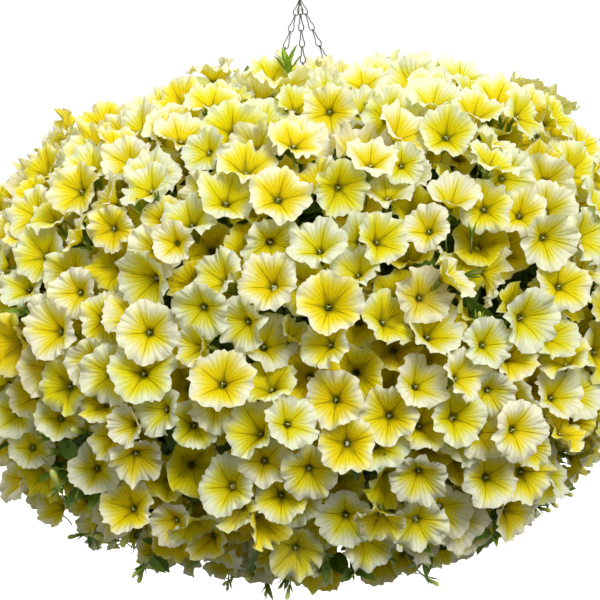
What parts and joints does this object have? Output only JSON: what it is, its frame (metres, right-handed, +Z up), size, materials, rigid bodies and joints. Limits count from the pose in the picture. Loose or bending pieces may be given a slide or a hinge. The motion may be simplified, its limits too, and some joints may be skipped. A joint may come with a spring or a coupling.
{
  "type": "petunia hanging basket",
  "caption": "Hanging basket in full bloom: a wide round mound of pale yellow petunias over a coir-lined wire basket, hung by taut chains from a steel hook.",
  "frame": {"origin": "seat of the hook, the point inside its bend that rests on a bracket or ceiling hook", "axes": "+Z up along the hang line; the hook's bend lies in the XZ plane and opens towards +X; one chain runs towards +Y, the other two towards -Y and either side"},
  "size_m": [0.7518, 0.7539, 0.6739],
  "materials": {
    "petal": "matte",
    "leaf": "satin",
    "stem": "satin",
    "coir": "matte",
    "potting_mix": "matte",
    "wire": "satin",
    "chain": "satin"
  },
  "bodies": {
    "root": {"hook": "wire", "gather_ring": "wire", "chain_1": "chain", "chain_2": "chain", "chain_3": "chain", "wire_basket": "wire", "coir_liner": "coir", "potting_mix": "potting_mix", "plant_1_stems": "stem", "plant_1_leaves_upper": "leaf", "plant_1_leaves_lower": "leaf", "plant_1_blooms_top": "petal", "plant_1_blooms_shoulder": "petal", "plant_1_blooms_side": "petal", "plant_1_blooms_skirt": "petal", "plant_2_stems": "stem", "plant_2_leaves_upper": "leaf", "plant_2_leaves_lower": "leaf", "plant_2_blooms_top": "petal", "plant_2_blooms_shoulder": "petal", "plant_2_blooms_side": "petal", "plant_2_blooms_skirt": "petal", "plant_3_stems": "stem", "plant_3_leaves_upper": "leaf", "plant_3_leaves_lower": "leaf", "plant_3_blooms_top": "petal", "plant_3_blooms_shoulder": "petal", "plant_3_blooms_side": "petal", "plant_3_blooms_skirt": "petal", "plant_4_stems": "stem", "plant_4_leaves_upper": "leaf", "plant_4_leaves_lower": "leaf", "plant_4_blooms_top": "petal", "plant_4_blooms_shoulder": "petal", "plant_4_blooms_side": "petal", "plant_4_blooms_skirt": "petal", "plant_5_stems": "stem", "plant_5_leaves_upper": "leaf", "plant_5_leaves_lower": "leaf", "plant_5_blooms_top": "petal", "plant_5_blooms_shoulder": "petal", "plant_5_blooms_side": "petal", "plant_5_blooms_skirt": "petal", "plant_6_stems": "stem", "plant_6_leaves_upper": "leaf", "plant_6_leaves_lower": "leaf", "plant_6_blooms_top": "petal", "plant_6_blooms_shoulder": "petal", "plant_6_blooms_side": "petal", "plant_6_blooms_skirt": "petal"}
  },
  "joints": []
}
